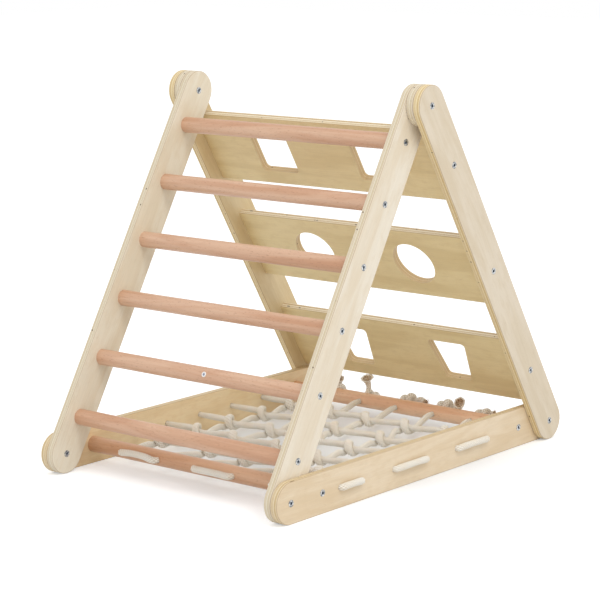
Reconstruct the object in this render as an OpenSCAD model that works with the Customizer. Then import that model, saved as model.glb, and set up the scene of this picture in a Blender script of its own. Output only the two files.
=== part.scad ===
// Indoor climbing triangle for toddlers: a rung ladder and a climbing wall that
// lean on each other, tied together at the floor by a base frame with a rope net.
// X runs across the frame, Y from the ladder's foot to the wall's foot, Z up.
// The origin is on the floor, under the apex, midway between the two sides.

/* [Frame] */
// Distance between the two pivot holes of a ladder leg or a wall leg
leg_pitch = 746; // [720:1:780]
// Distance between the two pivot holes of a base rail
base_pitch = 756; // [720:1:790]
// Clear width between the two ladder legs
inner_w = 516; // [490:1:600]
// Width of every plywood board
board_w = 75; // [70:1:82]
// Thickness of every plywood board
board_t = 15; // [14:0.5:18]
// Radius of the eased edges of the boards
edge_r = 2; // [1:0.25:3]

/* [Ladder] */
// Distance from one rung to the next along the legs
rung_pitch = 120; // [112:1:126]
// Diameter of the rungs
rung_d = 30; // [26:1:34]
// Depth of the sockets that the rung and dowel ends sit in
seat_depth = 3; // [2:0.5:5]
// Radial clearance of the rung and dowel ends in their sockets
seat_fit = 0.05; // [0.02:0.01:0.1]

/* [Base] */
// Diameter of the two dowels that join the base rails
dowel_d = 30; // [26:1:34]
// Distance from a corner pivot to the nearest base dowel
dowel_inset = 83.5; // [80:0.5:95]

/* [Climbing wall] */
// Height of each wall panel, measured along the wall
panel_h = 156; // [145:1:160]
// Thickness of the wall panels
panel_t = 15; // [14:0.5:18]
// Distance from a pivot hole to the middle of the top or bottom panel
panel_inset = 129.5; // [126:0.5:132]
// Distance from the middle of a panel to the centre of each cut-out
cutout_x = 122; // [105:1:135]
// Width of the square cut-outs, and of the tapered cut-outs at the top
square_w = 91; // [80:1:96]
// Width of the tapered cut-outs at the bottom
taper_w = 62; // [50:1:80]
// Height of the square and tapered cut-outs
square_h = 95; // [80:1:100]
// Corner radius of the square and tapered cut-outs
corner_r = 8; // [5:1:15]
// Diameter of the round cut-outs
round_d = 94; // [85:1:102]

/* [Fasteners] */
// Diameter of every bolt head, screw head and cap nut head
head_d = 12.6; // [12:0.2:14]
// Thickness of the flat rim on top of each countersunk head
head_rim = 0.6; // [0.4:0.1:1]
// How far the heads stand proud of the board
head_proud = 0.4; // [0.2:0.1:0.8]
// Size across the flats of the hex sockets
hex_af = 5; // [4:0.5:6]
// Depth of the hex sockets
hex_depth = 2.4; // [1.5:0.1:3]
// Diameter of the corner bolts
bolt_d = 6; // [5:0.5:6]
// Outside diameter of the cap nut sleeves
sleeve_d = 8; // [8:0.5:9]
// Length of each corner bolt outside its cap nut's sleeve
bolt_bare = 12; // [8:1:14]
// Length of each corner bolt inside its cap nut's sleeve
bolt_grip = 13; // [10:1:14]
// Diameter of the wood screws
screw_d = 6; // [5:0.5:7]
// Length of the wood screws
screw_len = 50; // [40:1:60]
// Radial clearance of bolts, screws and sleeves in their holes
bolt_fit = 0.05; // [0.02:0.01:0.1]
// Diameter of the wooden pins that stop the panels turning
pin_d = 8; // [6:0.5:8]
// Length of the wooden pins
pin_len = 30; // [26:1:36]
// Depth of the wooden pins in the wall legs
pin_seat = 10; // [8:0.5:12]
// Distance from a panel's screw to each of its wooden pins
pin_offset = 48; // [35:1:55]
// Radial clearance of the wooden pins in their holes
pin_fit = 0.05; // [0.02:0.01:0.1]
// Space left under the tip of each screw, bolt and wooden pin
tip_gap = 0.5; // [0.2:0.1:1]

/* [Net] */
// Diameter of the rope
rope_d = 10; // [8:0.5:10.5]
// Clearance of the rope in the holes that it passes through
rope_fit = 0.5; // [0.3:0.1:0.8]
// Gap between the rope and what it is wrapped round or laid on
rope_gap = 0.3; // [0.2:0.1:0.5]
// Distance between neighbouring ropes that run from front to rear
long_pitch = 92; // [84:1:96]
// Distance between neighbouring ropes that run from side to side
cross_pitch = 94; // [86:1:97]
// Distance from a rail to the extra rope hole in the front dowel
dowel_anchor_inset = 45; // [42:1:50]
// Distance from a dowel to the extra rope hole in a rail
rail_anchor_inset = 48; // [40:1:54]
// Diameter of the rope where it is pulled tight in a knot
hitch_d = 9.2; // [7.6:0.2:9.8]
// Length of the loose rope end behind each end knot
tail_len = 16; // [10:1:20]

/* [Hidden] */
$fn = 64;

// Layers of boards on each side, from the inside out
ladder_x = inner_w / 2;
rail_x = ladder_x + board_t;
wall_x = rail_x + board_t;
outer_x = wall_x + board_t;

// Corners: half a board above the floor, so that every board end stands on it
pivot_z = board_w / 2;
half_base = base_pitch / 2;
rise = sqrt(leg_pitch * leg_pitch - half_base * half_base);
slope = atan2(rise, half_base);
apex_z = pivot_z + rise;

// The lowest of the six rungs is rung 1
rung_count = 6;
rung_start = (leg_pitch - (rung_count - 1) * rung_pitch) / 2;
rung_at = [for (i = [0 : rung_count - 1]) rung_start + i * rung_pitch];
dowel_y = half_base - dowel_inset;
panel_at = [panel_inset, leg_pitch / 2, leg_pitch - panel_inset];

screw_hole_d = screw_d + 2 * bolt_fit;
sleeve_hole_d = sleeve_d + 2 * bolt_fit;
pin_hole_d = pin_d + 2 * pin_fit;

// Five ropes run each way, centred in the base frame
rope_r = rope_d / 2;
rope_hole_d = rope_d + 2 * rope_fit;
net_z = pivot_z;
long_x = [for (i = [-2 : 2]) i * long_pitch];
cross_y = [for (i = [-2 : 2]) i * cross_pitch];
dowel_anchor_x = rail_x - dowel_anchor_inset;
rail_anchor_y = dowel_y - rail_anchor_inset;
// Axis of the rope where it lies along the outside of a rail or a dowel
rail_lay = wall_x + rope_gap + rope_r;
dowel_lay = dowel_y + dowel_d / 2 + rope_gap + rope_r;
// Tight bend of the rope at the mouth of a hole, and its swell at a slight bend
bend_r = 1.25 * rope_r;
knee_d = 1.02 * rope_d;
// Rings of the hitches, and how low the long ropes pass under the cross ropes
hitch_r = rope_r + rope_gap + hitch_d / 2;
net_dip = rope_d + 2 * rope_gap;
// Rings of the end knots, which bite into the rope that they are tied in
knot_r = rope_r + 0.4 * hitch_d;
knot_step = 0.85 * hitch_d;
knot_len = knot_step + hitch_d;

// A cut runs this far past the face that it opens
over = 1;

plywood = "Wheat";
beech = "RosyBrown";
zinc = "LightSteelBlue";
cotton = "Ivory";

// ---- Placing ----

// Along the ladder legs, from the front corner up to the apex
module on_ladder() translate([0, -half_base, pivot_z]) rotate([slope, 0, 0]) children();

// Down the wall legs, from the apex to the rear corner
module on_wall() translate([0, 0, apex_z]) rotate([-slope, 0, 0]) children();

// Along the base rails, from the front corner to the rear corner
module on_base() translate([0, -half_base, pivot_z]) children();

module on_side(side) mirror([side < 0 ? 1 : 0, 0, 0]) children();

module both_sides() for (side = [-1, 1]) on_side(side) children();

// Turns what is made along +Z to point out of an outer or an inner face
module facing_out() rotate([0, 90, 0]) children();

module facing_in() rotate([0, -90, 0]) children();

// ---- Boards ----

// Rectangle with eased corners
module eased_rect(w, h) {
    square([w - 2 * edge_r, h], center = true);
    square([w, h - 2 * edge_r], center = true);
    for (x = [-1, 1], y = [-1, 1])
        translate([x * (w / 2 - edge_r), y * (h / 2 - edge_r)]) circle(edge_r);
}

// Right half of that rectangle, to turn into a disc or a round end
module eased_half(r, h) {
    translate([0, -h / 2]) square([r - edge_r, h]);
    translate([0, edge_r - h / 2]) square([r, h - 2 * edge_r]);
    for (y = [-1, 1])
        translate([r - edge_r, y * (h / 2 - edge_r)]) circle(edge_r);
}

// Board with round ends: inner face at X = 0, corners at Y = 0 and Y = span
module board(span) {
    translate([board_t / 2, 0, 0]) {
        rotate([-90, 0, 0]) linear_extrude(span) eased_rect(board_t, board_w);
        rotate([0, 90, 0]) rotate([0, 0, 180])
            rotate_extrude(angle = 180) eased_half(board_w / 2, board_t);
        translate([0, span, 0]) rotate([0, 90, 0])
            rotate_extrude(angle = 180) eased_half(board_w / 2, board_t);
    }
}

// ---- Holes, each starting at a board's face, which is at Z = 0 ----

// Hole through a board from its outer face, for a head with this shank
module sunk_hole(shank, hole) {
    cone = (head_d - shank) / 2;
    translate([0, 0, -board_t - over]) cylinder(h = board_t + 2 * over, d = hole);
    translate([0, 0, head_proud - head_rim - cone])
        cylinder(h = cone, d1 = shank + 2 * bolt_fit, d2 = head_d + 2 * bolt_fit);
    translate([0, 0, head_proud - head_rim]) cylinder(h = over, d = head_d + 2 * bolt_fit);
}

module plain_hole(d) translate([0, 0, -board_t - over]) cylinder(h = board_t + 2 * over, d = d);

module blind_hole(d, depth) translate([0, 0, -depth]) cylinder(h = depth + over, d = d);

// ---- Ladder ----

module ladder_leg(side) {
    color(plywood) on_side(side) on_ladder() difference() {
        translate([ladder_x, 0, 0]) board(leg_pitch);
        for (y = [0, leg_pitch])
            translate([ladder_x, y, 0]) facing_in() sunk_hole(sleeve_d, sleeve_hole_d);
        for (y = rung_at) {
            translate([rail_x, y, 0]) facing_out() sunk_hole(screw_d, screw_hole_d);
            translate([ladder_x, y, 0]) facing_in() blind_hole(rung_d + 2 * seat_fit, seat_depth);
        }
    }
}

// Round bar between two boards, with a pilot hole for a screw in each end
module cross_bar(d, board_x) {
    pilot = screw_len - board_t + seat_depth + tip_gap;
    difference() {
        facing_out() cylinder(h = 2 * (board_x + seat_depth), d = d, center = true);
        both_sides() translate([board_x + seat_depth, 0, 0])
            facing_out() blind_hole(screw_hole_d, pilot);
    }
}

module rung(i) {
    color(beech) on_ladder() translate([0, rung_at[i - 1], 0]) cross_bar(rung_d, ladder_x);
}

// ---- Climbing wall ----

module wall_leg(side) {
    color(plywood) on_side(side) on_wall() difference() {
        translate([wall_x, 0, 0]) board(leg_pitch);
        for (y = [0, leg_pitch])
            translate([outer_x, y, 0]) facing_out() sunk_hole(bolt_d, sleeve_hole_d);
        for (y = panel_at) {
            translate([outer_x, y, 0]) facing_out() sunk_hole(screw_d, screw_hole_d);
            for (s = [-1, 1]) translate([wall_x, y + s * pin_offset, 0])
                facing_in() blind_hole(pin_hole_d, pin_seat + tip_gap);
        }
    }
}

// Disc that fills the gap between ladder leg and wall leg at the apex
module apex_spacer(side) {
    color(plywood) on_side(side) translate([rail_x + board_t / 2, 0, apex_z]) facing_out() difference() {
        rotate_extrude() eased_half(board_w / 2, board_t);
        cylinder(h = board_t + 2 * over, d = sleeve_hole_d, center = true);
    }
}

// Cut-out with rounded corners that is this wide at the bottom. The corners' centres
// are at centre_x and centre_y, and side_x and side_y are where the sides end.
module cornered_cutout(foot_w) {
    lean = atan2((square_w - foot_w) / 2, square_h);
    centre_y = [corner_r, square_h - corner_r];
    centre_x = [for (y = centre_y) square_w / 2 - (corner_r + y * sin(lean)) / cos(lean)];
    side_x = [for (x = centre_x) x + corner_r * cos(lean)];
    side_y = [for (y = centre_y) y + corner_r * sin(lean)];
    linear_extrude(panel_t + 2 * over, center = true) translate([0, -square_h / 2]) {
        polygon([
            [centre_x[0], 0], [side_x[0], side_y[0]], [side_x[1], side_y[1]], [centre_x[1], square_h],
            [-centre_x[1], square_h], [-side_x[1], side_y[1]], [-side_x[0], side_y[0]], [-centre_x[0], 0]
        ]);
        for (i = [0, 1], side = [-1, 1]) translate([side * centre_x[i], centre_y[i]]) circle(corner_r);
    }
}

module round_cutout() cylinder(h = panel_t + 2 * over, d = round_d, center = true);

// Panel between the wall legs, with two cut-outs given as its children
module wall_panel(at) {
    color(plywood) on_wall() translate([0, at, 0]) difference() {
        rotate([90, 0, 90]) linear_extrude(2 * wall_x, center = true) eased_rect(panel_h, panel_t);
        for (x = [-cutout_x, cutout_x]) translate([x, 0, 0]) children();
        both_sides() translate([wall_x, 0, 0]) facing_out() {
            blind_hole(screw_hole_d, screw_len - board_t + tip_gap);
            for (s = [-1, 1]) translate([0, s * pin_offset, 0])
                blind_hole(pin_hole_d, pin_len - pin_seat + tip_gap);
        }
    }
}

// ---- Base frame ----

module base_rail(side) {
    color(plywood) on_side(side) on_base() difference() {
        translate([rail_x, 0, 0]) board(base_pitch);
        translate([wall_x, 0, 0]) facing_out() sunk_hole(bolt_d, sleeve_hole_d);
        translate([rail_x, base_pitch, 0]) facing_in() sunk_hole(sleeve_d, sleeve_hole_d);
        for (y = [-dowel_y, dowel_y]) {
            translate([wall_x, half_base + y, 0]) facing_out() sunk_hole(screw_d, screw_hole_d);
            translate([rail_x, half_base + y, 0])
                facing_in() blind_hole(dowel_d + 2 * seat_fit, seat_depth);
        }
        for (y = concat(cross_y, [-side * rail_anchor_y]))
            translate([wall_x, half_base + y, 0]) facing_out() plain_hole(rope_hole_d);
    }
}

// Dowel between the rails, drilled for the long ropes
module base_dowel(y, rope_x) {
    color(beech) translate([0, y, pivot_z]) difference() {
        cross_bar(dowel_d, rail_x);
        for (x = rope_x) translate([x, 0, 0])
            rotate([90, 0, 0]) cylinder(h = dowel_d + 2 * over, d = rope_hole_d, center = true);
    }
}

// ---- Fasteners, each with its board's face at Z = 0 and its shank along -Z ----

module sunk_head(shank) {
    cone = (head_d - shank) / 2;
    difference() {
        union() {
            translate([0, 0, head_proud - head_rim]) cylinder(h = head_rim, d = head_d);
            translate([0, 0, head_proud - head_rim - cone]) cylinder(h = cone, d1 = shank, d2 = head_d);
        }
        translate([0, 0, head_proud - hex_depth])
            cylinder(h = hex_depth + over, d = hex_af / cos(30), $fn = 6);
    }
}

// Shank of a fastener, from under its head down to this length below the face
module shank_below_head(d, len) {
    under_head = head_rim - head_proud + (head_d - d) / 2;
    translate([0, 0, -len]) cylinder(h = len - under_head, d = d);
}

module corner_bolt() {
    sunk_head(bolt_d);
    shank_below_head(bolt_d, bolt_bare + bolt_grip);
}

module cap_nut(stack) {
    sleeve = stack - bolt_bare;
    difference() {
        union() {
            sunk_head(sleeve_d);
            shank_below_head(sleeve_d, sleeve);
        }
        translate([0, 0, -sleeve - over])
            cylinder(h = bolt_grip + tip_gap + over, d = bolt_d + 2 * bolt_fit);
    }
}

module wood_screw() {
    point = screw_d / 2;
    sunk_head(screw_d);
    difference() {
        shank_below_head(screw_d, screw_len);
        translate([0, 0, -screw_len]) difference() {
            cylinder(h = point, d = screw_d + 2 * over);
            cylinder(h = point, d1 = 1, d2 = screw_d);
        }
    }
}

module apex_bolts() {
    color(zinc) both_sides() translate([outer_x, 0, apex_z]) facing_out() corner_bolt();
}

module apex_cap_nuts() {
    color(zinc) both_sides() translate([ladder_x, 0, apex_z]) facing_in() cap_nut(3 * board_t);
}

module front_corner_bolts() {
    color(zinc) on_base() both_sides() translate([wall_x, 0, 0]) facing_out() corner_bolt();
}

module front_corner_cap_nuts() {
    color(zinc) on_base() both_sides() translate([ladder_x, 0, 0]) facing_in() cap_nut(2 * board_t);
}

module rear_corner_bolts() {
    color(zinc) on_base() both_sides()
        translate([outer_x, base_pitch, 0]) facing_out() corner_bolt();
}

module rear_corner_cap_nuts() {
    color(zinc) on_base() both_sides()
        translate([rail_x, base_pitch, 0]) facing_in() cap_nut(2 * board_t);
}

module rung_screws() {
    color(zinc) on_ladder() both_sides() for (y = rung_at)
        translate([rail_x, y, 0]) facing_out() wood_screw();
}

module dowel_screws() {
    color(zinc) both_sides() for (y = [-dowel_y, dowel_y])
        translate([wall_x, y, pivot_z]) facing_out() wood_screw();
}

module panel_screws() {
    color(zinc) on_wall() both_sides() for (y = panel_at)
        translate([outer_x, y, 0]) facing_out() wood_screw();
}

module panel_pins() {
    color(beech) on_wall() both_sides() for (y = panel_at, s = [-1, 1])
        translate([wall_x + pin_seat - pin_len, y + s * pin_offset, 0])
            facing_out() cylinder(h = pin_len, d = pin_d);
}

// ---- Rope net ----

// Straight rope along +X, +Y or +Z from the point at
module rope_x(at, len) translate(at) rotate([0, 90, 0]) cylinder(h = len, d = rope_d);

module rope_y(at, len) translate(at) rotate([-90, 0, 0]) cylinder(h = len, d = rope_d);

// Slight bend between two runs of rope that lie along Y or nearly so
module knee() rotate([-90, 0, 0]) sphere(d = knee_d);

// Part of a ring of rope round +Z
module rope_arc(r, angle) rotate_extrude(angle = angle) translate([r, 0]) circle(d = rope_d);

// Stitch along +Y from 0 to len that dips to X = -bend_r at both ends
module stitch(len) {
    translate([-bend_r, bend_r, 0]) rotate([0, 0, -90]) rope_arc(bend_r, 90);
    rope_y([0, bend_r, 0], len - 2 * bend_r);
    translate([-bend_r, len - bend_r, 0]) rope_arc(bend_r, 90);
}

// Two turns of a knot round a rope along +Z, then the loose end
module end_knot() {
    for (z = [0, 1]) translate([0, 0, hitch_d / 2 + z * knot_step])
        rotate_extrude() translate([knot_r, 0]) circle(d = hitch_d);
    cylinder(h = knot_len + tail_len, d = rope_d);
}

// Long rope from inside the front dowel's mouth, down under the cross ropes, up
// again and through the rear dowel to its end knot. It is hitched round each cross
// rope in turn.
module long_rope(x) {
    front = dowel_lay - bend_r;
    back = dowel_y + dowel_d / 2 + rope_gap;
    high = dowel_y - dowel_d / 2 - rope_r;
    low = cross_y[4] + 2 * hitch_r;
    slant = norm([high - low, net_dip]);
    translate([x, 0, net_z]) {
        rope_y([0, -front, 0], front - high);
        rope_y([0, high, 0], back - high);
        rope_y([0, -low, -net_dip], 2 * low);
        for (end = [0, 1]) mirror([0, end, 0]) {
            translate([0, high, 0]) knee();
            translate([0, low, -net_dip]) {
                rotate([-90 + atan2(net_dip, high - low), 0, 0]) cylinder(h = slant, d = rope_d);
                knee();
            }
        }
        for (y = cross_y) translate([0, y, 0])
            rotate([0, 90, 0]) rotate_extrude() translate([hitch_r, 0]) circle(d = hitch_d);
        translate([0, back, 0]) rotate([-90, 0, 0]) end_knot();
    }
}

// Stitch along the front of the front dowel, from one long rope to the next hole
module front_stitch(x0, x1) {
    translate([x0, -dowel_lay, net_z]) rotate([0, 0, -90]) stitch(x1 - x0);
}

module net_rope_left() {
    color(cotton) {
        long_rope(long_x[0]);
        long_rope(long_x[1]);
        front_stitch(long_x[0], long_x[1]);
    }
}

module net_rope_middle() {
    color(cotton) {
        long_rope(long_x[2]);
        long_rope(long_x[3]);
        front_stitch(long_x[2], long_x[3]);
    }
}

// The fifth long rope goes back through the front dowel and is knotted behind it
module net_rope_right() {
    inner = dowel_d / 2 - dowel_y + rope_gap;
    color(cotton) {
        long_rope(long_x[4]);
        front_stitch(long_x[4], dowel_anchor_x);
        rope_y([dowel_anchor_x, bend_r - dowel_lay, net_z], inner + dowel_lay - bend_r);
        translate([dowel_anchor_x, inner, net_z]) rotate([-90, 0, 0]) end_knot();
    }
}

// Cross rope from the mouth of its hole in one rail to the other
module cross_row(y) {
    mouth = rail_lay - bend_r;
    rope_x([-mouth, y, net_z], 2 * mouth);
}

// Stitch along the outside of a rail
module side_stitch(side, y0, y1) {
    on_side(side) translate([rail_lay, y0, net_z]) stitch(y1 - y0);
}

// From the mouth of the last hole in a rail to the knot inside it
module side_anchor(side, y) {
    on_side(side) translate([rail_x - rope_gap, y, net_z]) {
        rope_x([0, 0, 0], rail_lay - bend_r - rail_x + rope_gap);
        facing_in() end_knot();
    }
}

module net_cross_rope() {
    color(cotton) {
        side_anchor(1, -rail_anchor_y);
        side_stitch(1, -rail_anchor_y, cross_y[0]);
        side_stitch(-1, cross_y[0], cross_y[1]);
        side_stitch(1, cross_y[1], cross_y[2]);
        side_stitch(-1, cross_y[2], cross_y[3]);
        side_stitch(1, cross_y[3], cross_y[4]);
        side_stitch(-1, cross_y[4], rail_anchor_y);
        side_anchor(-1, rail_anchor_y);
        for (y = cross_y) cross_row(y);
    }
}

// ---- Assembly ----

ladder_leg(-1);  // ladder_leg_left
ladder_leg(1);  // ladder_leg_right
wall_leg(-1);  // wall_leg_left
wall_leg(1);  // wall_leg_right
base_rail(-1);  // base_rail_left
base_rail(1);  // base_rail_right
apex_spacer(-1);  // apex_spacer_left
apex_spacer(1);  // apex_spacer_right
rung(1);  // rung_1
rung(2);  // rung_2
rung(3);  // rung_3
rung(4);  // rung_4
rung(5);  // rung_5
rung(6);  // rung_6
base_dowel(-dowel_y, concat(long_x, [dowel_anchor_x]));  // front_dowel
base_dowel(dowel_y, long_x);  // rear_dowel
wall_panel(panel_at[0]) cornered_cutout(square_w);  // wall_panel_top
wall_panel(panel_at[1]) round_cutout();  // wall_panel_middle
wall_panel(panel_at[2]) cornered_cutout(taper_w);  // wall_panel_bottom
apex_bolts();
apex_cap_nuts();
front_corner_bolts();
front_corner_cap_nuts();
rear_corner_bolts();
rear_corner_cap_nuts();
rung_screws();
dowel_screws();
panel_screws();
panel_pins();
net_rope_left();
net_rope_middle();
net_rope_right();
net_cross_rope();
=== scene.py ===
import math
import random

import bpy
from mathutils import Matrix, Vector


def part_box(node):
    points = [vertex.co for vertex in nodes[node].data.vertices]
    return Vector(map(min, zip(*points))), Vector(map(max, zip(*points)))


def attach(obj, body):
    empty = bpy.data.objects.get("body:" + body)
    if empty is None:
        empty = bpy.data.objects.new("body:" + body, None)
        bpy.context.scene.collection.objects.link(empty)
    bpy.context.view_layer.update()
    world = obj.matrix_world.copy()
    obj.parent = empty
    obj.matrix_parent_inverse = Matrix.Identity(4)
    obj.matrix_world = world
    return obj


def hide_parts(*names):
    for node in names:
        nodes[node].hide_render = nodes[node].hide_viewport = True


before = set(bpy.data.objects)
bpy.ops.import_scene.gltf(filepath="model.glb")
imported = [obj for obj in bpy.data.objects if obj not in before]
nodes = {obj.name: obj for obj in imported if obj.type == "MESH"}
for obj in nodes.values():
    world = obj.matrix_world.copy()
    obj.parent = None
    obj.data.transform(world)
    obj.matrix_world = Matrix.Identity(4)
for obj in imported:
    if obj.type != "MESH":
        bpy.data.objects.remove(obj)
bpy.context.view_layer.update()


# ---- Camera ----
# A long lens looks down on the near front corner from a little above the apex,
# so that the ladder, the right side and the net all show.

camera_lens = bpy.data.cameras.new("camera")
camera_lens.lens = 131.16
camera_lens.clip_end = 50
camera = bpy.data.objects.new("camera", camera_lens)
bpy.context.scene.collection.objects.link(camera)
bpy.context.scene.camera = camera
camera_at = Vector((2.6191, -3.0844, 1.0566))
turned = math.radians(40.429)
looking_down = math.radians(10.607)
rolled = math.radians(-0.702)
camera.matrix_world = (
    Matrix.Translation(camera_at)
    @ Matrix.Rotation(turned, 4, "Z")
    @ Matrix.Rotation(math.pi / 2 - looking_down, 4, "X")
    @ Matrix.Rotation(rolled, 4, "Z")
)


# ---- Studio ----
# A pale sheet of floor under a white room. The floor keeps the soft shadow, and
# what lies beyond it stays white for the eye and in the metal's reflections.

def place(tree, kind, sockets=None, **settings):
    """Adds one shader node; a socket's value is a constant or another node's output."""
    made = tree.nodes.new("ShaderNode" + kind)
    for name, value in settings.items():
        setattr(made, name, value)
    for name, value in (sockets or {}).items():
        if isinstance(value, bpy.types.NodeSocket):
            tree.links.new(value, made.inputs[name])
        else:
            made.inputs[name].default_value = value
    return made


def maths(tree, operation, *values):
    """One step of arithmetic on constants or outputs."""
    made = place(tree, "Math", dict(enumerate(values)), operation=operation)
    return made.outputs[0]


def rising(tree, value, base, rise):
    """The base, with the value times the rise on top of it."""
    return maths(tree, "MULTIPLY_ADD", value, rise, base)


def object_point(tree):
    """Coordinates in metres from the middle of the frame, at the floor."""
    return place(tree, "TexCoord").outputs["Object"]


def seen_directly(tree):
    """1 for what the eye, a reflection or glass sees, and 0 for the light on the object."""
    path = place(tree, "LightPath").outputs
    return maths(
        tree, "MAXIMUM", path["Is Camera Ray"],
        maths(tree, "MAXIMUM", path["Is Glossy Ray"], path["Is Transmission Ray"]),
    )


floor_size = 24.0
floor_paint = (0.835, 0.85, 0.865, 1)
corner = floor_size / 2
floor_mesh = bpy.data.meshes.new("floor")
floor_mesh.from_pydata(
    [(-corner, -corner, 0), (corner, -corner, 0), (corner, corner, 0), (-corner, corner, 0)],
    [], [(0, 1, 2, 3)],
)
floor = bpy.data.objects.new("floor", floor_mesh)
bpy.context.scene.collection.objects.link(floor)
floor_finish = bpy.data.materials.new("floor_sheet")
floor_finish.use_nodes = True
tree = floor_finish.node_tree
tree.nodes.clear()
matt = place(tree, "BsdfDiffuse", {"Color": floor_paint})
# Near the object the sheet keeps its shadow; further off its white is lifted
shadow_middle = (0, 0.08, 0)
shadow_near = 0.22
shadow_far = 0.52
lift_near = 0.10
lift_far = 0.40
away = place(
    tree, "VectorMath", {0: object_point(tree), 1: shadow_middle}, operation="DISTANCE",
).outputs["Value"]
ramp = place(tree, "MapRange", {
    "Value": away, "From Min": shadow_near, "From Max": shadow_far,
    "To Min": lift_near, "To Max": lift_far,
}, interpolation_type="SMOOTHSTEP").outputs[0]
lift = place(tree, "Emission", {"Strength": maths(tree, "MULTIPLY", seen_directly(tree), ramp)})
both = place(tree, "AddShader", {0: matt.outputs[0], 1: lift.outputs[0]})
place(tree, "OutputMaterial", {"Surface": both.outputs[0]})
floor_mesh.materials.append(floor_finish)

room_light = 0.92
room = bpy.data.worlds.new("room")
bpy.context.scene.world = room
room.use_nodes = True
tree = room.node_tree
tree.nodes.clear()
strength = rising(tree, seen_directly(tree), base=room_light, rise=1.0 - room_light)
air = place(tree, "Background", {"Color": (1, 1, 1, 1), "Strength": strength})
place(tree, "OutputWorld", {"Surface": air.outputs[0]})

# One square soft box, high up on the right
box_at = Vector((2.6, -1.0, 3.4))
box_aim = Vector((0, 0, 0.3))
soft_box = bpy.data.lights.new("key_box", "AREA")
soft_box.size = 1.2
soft_box.energy = 38
lamp = bpy.data.objects.new("key_box", soft_box)
bpy.context.scene.collection.objects.link(lamp)
lamp.location = box_at
lamp.rotation_euler = (box_aim - box_at).to_track_quat("-Z", "Y").to_euler()

bpy.context.scene.view_settings.view_transform = "Standard"


# ---- Ladder legs ----
# Two boards of birch plywood with round ends, the innermost layer of each side,
# bolted at the apex and at the front foot. Pale veneer runs along each board, and
# its plies show as faint lines on the edge.

def shader_group(name, inputs, outputs):
    """Empty node group with these sockets; returns its tree, its input and its output node."""
    group = bpy.data.node_groups.new(name, "ShaderNodeTree")
    for socket, kind in inputs.items():
        group.interface.new_socket(socket, in_out="INPUT", socket_type="NodeSocket" + kind)
    for socket, kind in outputs.items():
        group.interface.new_socket(socket, in_out="OUTPUT", socket_type="NodeSocket" + kind)
    source = group.nodes.new("NodeGroupInput")
    result = group.nodes.new("NodeGroupOutput")
    return group, source.outputs, result.inputs


def inverse(tree, value):
    """1 minus the value."""
    return maths(tree, "SUBTRACT", 1.0, value)


def odd(tree, whole):
    """1 where a whole number is odd, and 0 where it is even."""
    half = maths(tree, "FRACT", maths(tree, "MULTIPLY", whole, 0.5))
    return maths(tree, "GREATER_THAN", half, 0.25)


def between(tree, value, low, high):
    """0 where the value is below low, 1 where it is above high, and smooth between."""
    made = place(
        tree, "MapRange", {"Value": value, "From Min": low, "From Max": high},
        interpolation_type="SMOOTHSTEP",
    )
    return made.outputs[0]


def mixed(tree, amount, first, second, blend="MIX"):
    """Colour between two colours, or one laid on the other."""
    made = place(tree, "Mix", {0: amount, 6: first, 7: second}, data_type="RGBA", blend_type=blend)
    return made.outputs[2]


def laid_over(tree, base, tint, mask, strength):
    """Base colour with a tint over it, as strong as the mask times this strength."""
    return mixed(tree, maths(tree, "MULTIPLY", mask, strength), base, tint)


def toned(tree, base, value, depth):
    """Colour made lighter and darker by a value round 0.5, over this depth in all."""
    factor = rising(tree, value, base=1 - depth / 2, rise=depth)
    grey = place(tree, "CombineColor", {0: factor, 1: factor, 2: factor}).outputs[0]
    return mixed(tree, 1.0, base, grey, "MULTIPLY")


def noise(tree, where, scale, detail, rough, warp=0.0):
    """Cloudy value round 0.5 at these coordinates."""
    made = place(tree, "TexNoise", {
        "Vector": where, "Scale": scale, "Detail": detail, "Roughness": rough, "Distortion": warp,
    })
    return made.outputs[0]


def grain(tree, where, scales, detail, rough, warp=0.0):
    """Cloudy value with a scale of its own along each axis, long where the scale is small."""
    drawn_out = place(tree, "VectorMath", {0: where, 1: scales}, operation="MULTIPLY").outputs[0]
    return noise(tree, drawn_out, 1.0, detail, rough, warp)


# Plywood in a board's own axes: X through the plies, Y along the veneer, Z across
plies = 5
face_to_edge = (0.0009, 0.0015)
# Darker band along the sanded corner: partly the glue line laid bare, partly painted shade for the
# grooves between boards
glue_shade_from = (0.00004, 0.0004)
glue_shade_to = (0.0011, 0.0016)
glue_reach = (0.03, 0.12)
void_tone = (0.09, 0.05, 0.02, 1)
void_scale = 120
ply_shift = 7.3
plywood, given, made = shader_group(
    "plywood",
    {"Where": "Vector", "Thickness": "Float", "Face": "Color", "Figure": "Color",
     "Edge": "Color", "Ply": "Color", "Glue": "Color"},
    {"Color": "Color", "Roughness": "Float", "Height": "Float"},
)
where = given["Where"]
thickness = given["Thickness"]
axes = place(plywood, "SeparateXYZ", {0: where}).outputs
from_back = maths(plywood, "SUBTRACT", thickness, axes["X"])
under = maths(plywood, "MINIMUM", axes["X"], from_back)
cut = between(plywood, under, *face_to_edge)
# Face: slow cathedral figure, cloudy patches, fine streaks and short dark pores along the board
slow = grain(plywood, where, scales=(10, 3.4, 26), detail=3, rough=0.55, warp=0.8)
cloud = grain(plywood, where, scales=(40, 34, 90), detail=3, rough=0.6)
streak = grain(plywood, where, scales=(60, 14, 420), detail=3, rough=0.6)
pore = grain(plywood, where, scales=(200, 60, 800), detail=2, rough=0.5)
figure = between(plywood, slow, 0.40, 0.66)
patch = between(plywood, cloud, 0.45, 0.7)
speck = between(plywood, pore, 0.64, 0.74)
face = laid_over(plywood, given["Face"], given["Figure"], figure, strength=0.8)
face = laid_over(plywood, face, given["Figure"], patch, strength=0.45)
face = toned(plywood, face, streak, depth=0.14)
face = laid_over(plywood, face, given["Glue"], speck, strength=0.22)
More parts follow.
